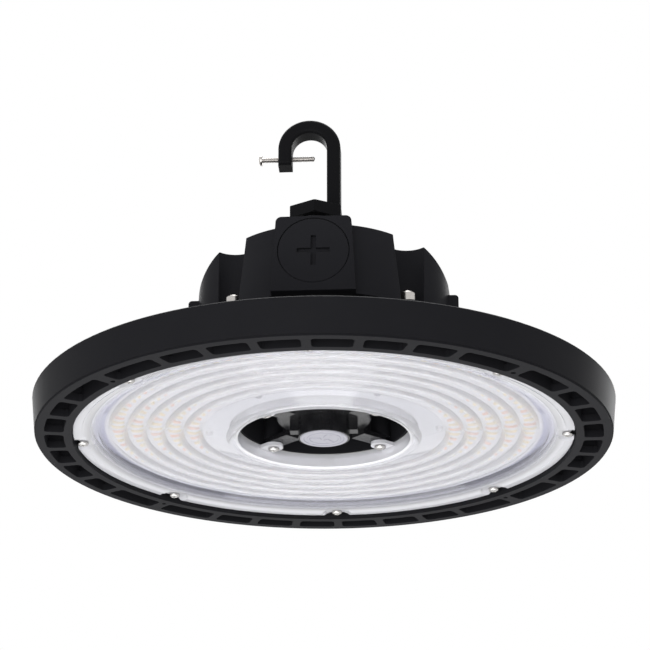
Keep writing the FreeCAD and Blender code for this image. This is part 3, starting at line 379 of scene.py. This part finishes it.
def cross_recess(radius, bearing, reach, depth):
    """Depth of a cross recess at that place on a screw head; its arms narrow and rise outwards."""
    x, y, _ = polar(radius, bearing, 0.0)
    along, aside = max(abs(x), abs(y)), min(abs(x), abs(y))
    if along >= reach:
        return 0.0
    half_width = RECESS_HALF_WIDTH * reach + RECESS_TAPER * (reach - along)
    across = min(1.0, max(0.0, RECESS_FLANK * (1 - aside / half_width)))
    return depth * across * min(1.0, RECESS_RISE * (1 - along / reach))


def pan_screw(name, head_radius, head_height, shank_radius, length, finish):
    """Pan-head screw along Z: domed head under z=0 with a cross recess, threaded shank above."""
    def crown(radius, bearing):
        bulge = math.sqrt(max(0.0, 1 - (radius / head_radius) ** DOME_POWER))
        dome = HEAD_SHOULDER + (1 - HEAD_SHOULDER) * bulge
        recess = cross_recess(radius, bearing, RECESS_REACH * head_radius, RECESS_DEPTH * head_height)
        return recess - head_height * dome

    dome_edge = DOME_EDGE * head_radius
    loops = [loop_at(dome_edge * (k + 0.5) / SCREW_RINGS, crown, SCREW_SIDES) for k in range(SCREW_RINGS)]
    loops += [loop_at(across * head_radius, up * head_height, SCREW_SIDES) for across, up in HEAD_PROFILE]
    loops.append(loop_at(shank_radius, 0.0, SCREW_SIDES))
    loops += thread_loops(THREAD_START, length - POINT_LENGTH * shank_radius, shank_radius)
    loops.append(loop_at(POINT_RADIUS * shank_radius, length, SCREW_SIDES))
    return skin(name, loops, (0, 0, crown(0, 0)), (0, 0, length), finish)


def place(name, mesh, matrix, node):
    """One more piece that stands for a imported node."""
    piece = bpy.data.objects.new(name, mesh)
    bpy.context.scene.collection.objects.link(piece)
    piece.matrix_world = matrix
    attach(piece, "root")
    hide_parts(node)


def corners_of(node):
    return [Vector(corner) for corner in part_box(node)]


def lens_screws(made):
    """Cross-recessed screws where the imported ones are: eight round the flange, four on the tabs."""
    low, high = corners_of("lens_screws_outer")
    mesh = pan_screw("lens_screw", LENS_SCREW_HEAD, LENS_SCREW_HEAD_HEIGHT, LENS_SCREW_SHANK,
                     high.z - low.z - LENS_SCREW_HEAD_HEIGHT, made["chrome_screw"])
    pitch_radius = high.x - LENS_SCREW_HEAD
    for i in range(LENS_SCREW_COUNT):
        bearing = 2 * math.pi * i / LENS_SCREW_COUNT
        spot = Vector((pitch_radius * math.sin(bearing), -pitch_radius * math.cos(bearing),
                       low.z + LENS_SCREW_HEAD_HEIGHT))
        place(f"lens_screw_outer_{i}", mesh, Matrix.Translation(spot) @ Matrix.Rotation(1.9 * i, 4, "Z"),
              "lens_screws_outer")

    low, high = corners_of("lens_screws_inner")
    x, y = high.x - LENS_SCREW_HEAD, high.y - LENS_SCREW_HEAD
    for i, (side_x, side_y) in enumerate(((-x, -y), (x, -y), (-x, y), (x, y))):
        spot = Vector((side_x, side_y, low.z + LENS_SCREW_HEAD_HEIGHT))
        place(f"lens_screw_inner_{i}", mesh, Matrix.Translation(spot) @ Matrix.Rotation(0.7 * i, 4, "Z"),
              "lens_screws_inner")


def safety_screw(made):
    """Threaded pan-head screw through the hook's tip."""
    low, high = corners_of("safety_screw")
    mesh = pan_screw("safety_screw_thread", (high.z - low.z) / 2, SAFETY_HEAD_HEIGHT, SAFETY_SHANK,
                     high.x - low.x - SAFETY_HEAD_HEIGHT, made["stainless"])
    spot = Vector((low.x + SAFETY_HEAD_HEIGHT, (low.y + high.y) / 2, (low.z + high.z) / 2))
    place("safety_screw_threaded", mesh, Matrix.Translation(spot) @ Matrix.Rotation(math.pi / 2, 4, "Y"),
          "safety_screw")


def sensor_cap(made):
    """Blanking cap with a raised rim, a shallow ring and a plain three-armed grip in relief."""
    low, high = corners_of("sensor_cap")
    outer = high.x

    def face(radius, bearing):
        share = radius / outer
        z = low.z + (0.0 if share > CAP_RIM_FROM else CAP_STEP)
        if CAP_RING[0] < share < CAP_RING[1]:
            z -= CAP_RING_RISE * CAP_STEP
        arm = abs((bearing / (2 * math.pi) * CAP_ARMS) % 1.0 - 0.5)
        if CAP_ARM[0] < share < CAP_ARM[1] and arm * share < CAP_ARM_HALF_WIDTH:
            z -= CAP_ARM_RISE * CAP_STEP
        return z

    face_edge = CAP_FACE_EDGE * outer
    loops = [loop_at(face_edge * (k + 0.5) / CAP_RINGS, face, CAP_SIDES) for k in range(CAP_RINGS)]
    loops.append(loop_at(outer, low.z + CAP_CHAMFER, CAP_SIDES))
    loops.append(loop_at(outer, high.z, CAP_SIDES))
    mesh = skin("sensor_cap_relief", loops, (0, 0, low.z + CAP_STEP), (0, 0, high.z), made["grey_cap"])
    place("sensor_cap_relief", mesh, Matrix.Identity(4), "sensor_cap")


# ---------------------------------------------------------------- studio and camera

def world():
    """Surround: as light it is pale below and dark above; the eye, gloss and clear parts see white."""
    sky = bpy.data.worlds.new("studio")
    bpy.context.scene.world = sky
    sky.use_nodes = True
    tree = sky.node_tree
    tree.nodes.clear()
    output = add(tree, "ShaderNodeOutputWorld")
    direction = add(tree, "ShaderNodeTexCoord").outputs["Generated"]
    height = add(tree, "ShaderNodeSeparateXYZ", {"Vector": direction}).outputs["Z"]
    below = mapped(tree, height, 1.0, 0.0, PALE_UNDER, DARK_OVER)
    studio = blended(tree, below, STUDIO_ABOVE, STUDIO_BELOW)
    lighting = add(tree, "ShaderNodeBackground", {"Color": studio, "Strength": 1.0}).outputs[0]
    backdrop = add(tree, "ShaderNodeBackground", {"Color": (*WHITE, 1.0), "Strength": 1.0}).outputs[0]
    chosen = add(tree, "ShaderNodeMixShader", {0: seen_directly(tree), 1: lighting, 2: backdrop})
    tree.links.new(chosen.outputs[0], output.inputs["Surface"])


def lamp(name, spot, width, height, watts):
    """A soft rectangular lamp at that spot, aimed at the middle of the light."""
    light = bpy.data.lights.new(name, "AREA")
    light.shape = "RECTANGLE"
    light.size = width
    light.size_y = height
    light.energy = watts
    holder = bpy.data.objects.new(name, light)
    holder.location = spot
    holder.rotation_euler = (Vector(LAMP_AIM) - Vector(spot)).to_track_quat("-Z", "Y").to_euler()
    bpy.context.scene.collection.objects.link(holder)


def lamps():
    """Where each lamp stands in metres, its width and height, and its watts."""
    lamp("softbox_front", (-0.4, -1.6, -0.55), 1.8, 1.4, 18.0)
    lamp("softbox_behind_right", (0.9, 1.3, 0.55), 0.6, 0.9, 7.0)
    lamp("softbox_below", (-0.3, 0.5, -2.2), 2.0, 2.0, 27.0)
    lamp("softbox_top", (0.0, 0.3, 1.6), 1.4, 1.0, 22.0)
    lamp("softbox_back", (-0.7, 1.5, 0.9), 0.9, 0.9, 8.0)


def floor():
    """A plain pale floor far under the hanging light."""
    mesh = bpy.data.meshes.new("floor")
    mesh.from_pydata([(x * FLOOR_HALF, y * FLOOR_HALF, FLOOR_HEIGHT)
                      for x, y in ((-1, -1), (1, -1), (1, 1), (-1, 1))], [], [(0, 1, 2, 3)])
    plane = bpy.data.objects.new("floor", mesh)
    bpy.context.scene.collection.objects.link(plane)
    material, tree, shader = new_material("pale_floor")
    shade = noise(tree, 120 * MM)
    fill(tree, shader, Base_Color=blended(tree, shade, (0.8, 0.8, 0.8), (0.84, 0.84, 0.84)), Roughness=0.9,
         Emission_Color=(*WHITE, 1.0), Emission_Strength=mapped(tree, seen_directly(tree), 0.0, FLOOR_GLOW))
    mesh.materials.append(material)


def camera():
    """Long lens from in front and well below."""
    view = bpy.data.cameras.new("camera")
    view.sensor_width = SENSOR_WIDTH
    view.lens = FOCAL_LENGTH
    view.clip_start = 0.01
    view.clip_end = 20.0
    holder = bpy.data.objects.new("camera", view)
    holder.location = CAMERA_PLACE
    holder.rotation_euler = Vector(CAMERA_FORWARD).to_track_quat("-Z", "Y").to_euler()
    bpy.context.scene.collection.objects.link(holder)
    bpy.context.scene.camera = holder


made = finish_materials()
dress_nodes(made)
lens_screws(made)
safety_screw(made)
sensor_cap(made)
world()
lamps()
floor()
camera()
bpy.context.scene.view_settings.view_transform = "Standard"
